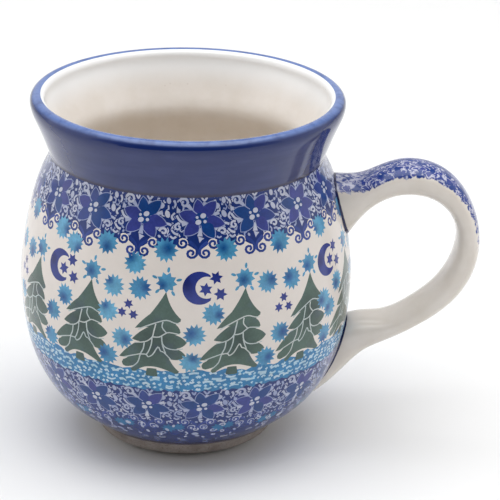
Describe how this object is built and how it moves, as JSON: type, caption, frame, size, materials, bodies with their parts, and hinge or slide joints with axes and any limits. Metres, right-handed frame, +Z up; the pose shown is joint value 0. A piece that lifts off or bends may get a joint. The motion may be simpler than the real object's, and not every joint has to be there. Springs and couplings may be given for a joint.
{
  "type": "stoneware mug",
  "caption": "Round-bellied stoneware mug with a flared cobalt collar, one strap handle, a bare turned foot and a stamped winter forest pattern under clear glaze.",
  "frame": {"origin": "on the cup's axis, in the plane that the foot stands on", "axes": "+Z up along the cup's axis and out of its mouth; +X from the axis towards the handle"},
  "size_m": [0.1328, 0.096, 0.1033],
  "materials": {
    "stoneware": "fired clay, hidden under the glaze",
    "bare_foot": "unglazed, matt grey-brown",
    "slip": "fired slip, hidden under the glaze",
    "stamped_belly": "clear gloss over a stamped blue and green pattern on cream",
    "cobalt": "gloss cobalt",
    "cream_liner": "gloss cream",
    "stamped_handle": "gloss cream, stamped blue on its back"
  },
  "bodies": {
    "root": {"stoneware_body": "stoneware", "foot_ring": "bare_foot", "strap_handle": "stoneware", "upper_slip_joint": "slip", "lower_slip_joint": "slip", "belly_glaze": "stamped_belly", "collar_glaze": "cobalt", "liner_glaze": "cream_liner", "handle_glaze": "stamped_handle"}
  },
  "joints": []
}
